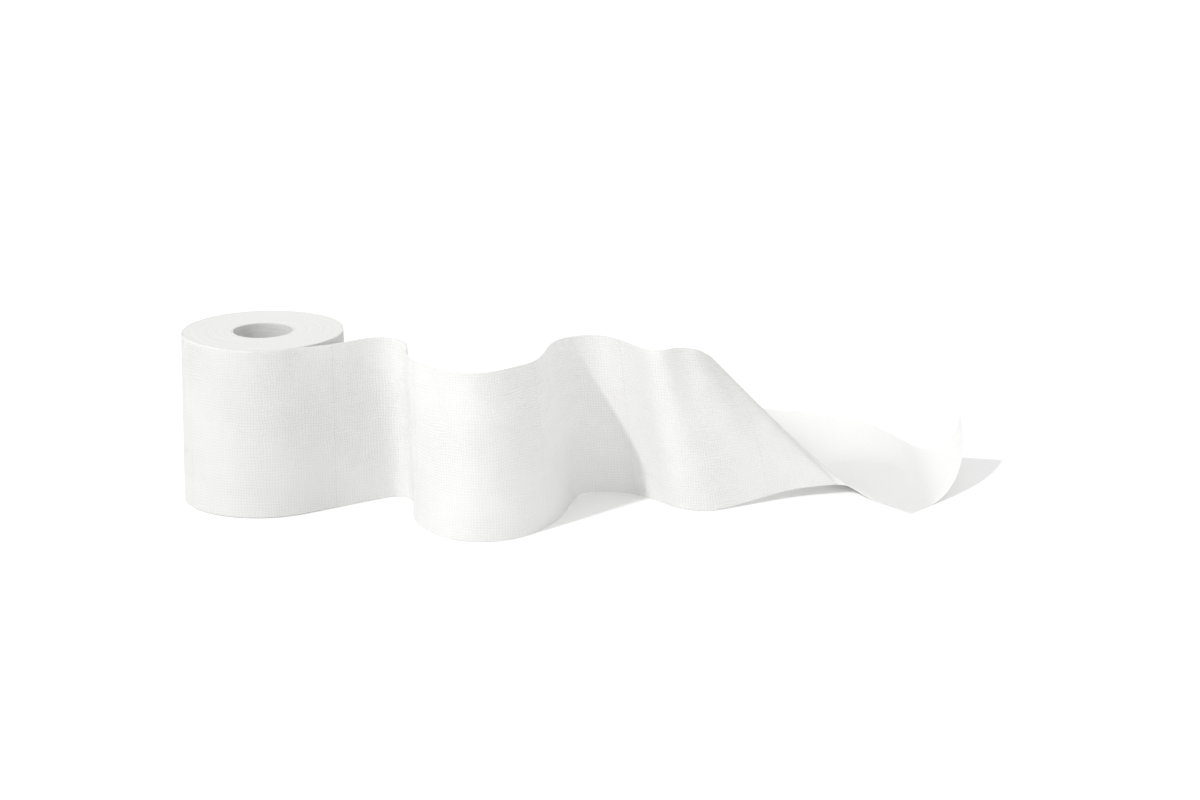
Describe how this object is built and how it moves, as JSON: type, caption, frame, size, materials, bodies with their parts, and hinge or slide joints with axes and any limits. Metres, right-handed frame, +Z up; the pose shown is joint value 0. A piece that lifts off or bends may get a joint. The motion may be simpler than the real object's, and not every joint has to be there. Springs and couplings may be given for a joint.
{
  "type": "toilet paper roll",
  "caption": "White bathroom tissue roll standing on end on its card core, with a loose length pulled off that runs away in two waves, tips over, lies flat and curls at the corner.",
  "frame": {"origin": "on the axis of the card core, at the roll's bottom end, which stands on the surface", "axes": "+Z up along the core, +X along the loose length towards its free end, -Y the front"},
  "size_m": [0.4988, 0.1947, 0.104],
  "materials": {
    "tissue": "matte",
    "card": "matte"
  },
  "bodies": {
    "root": {"core": "card", "roll": "tissue", "tail": "tissue"}
  },
  "joints": []
}
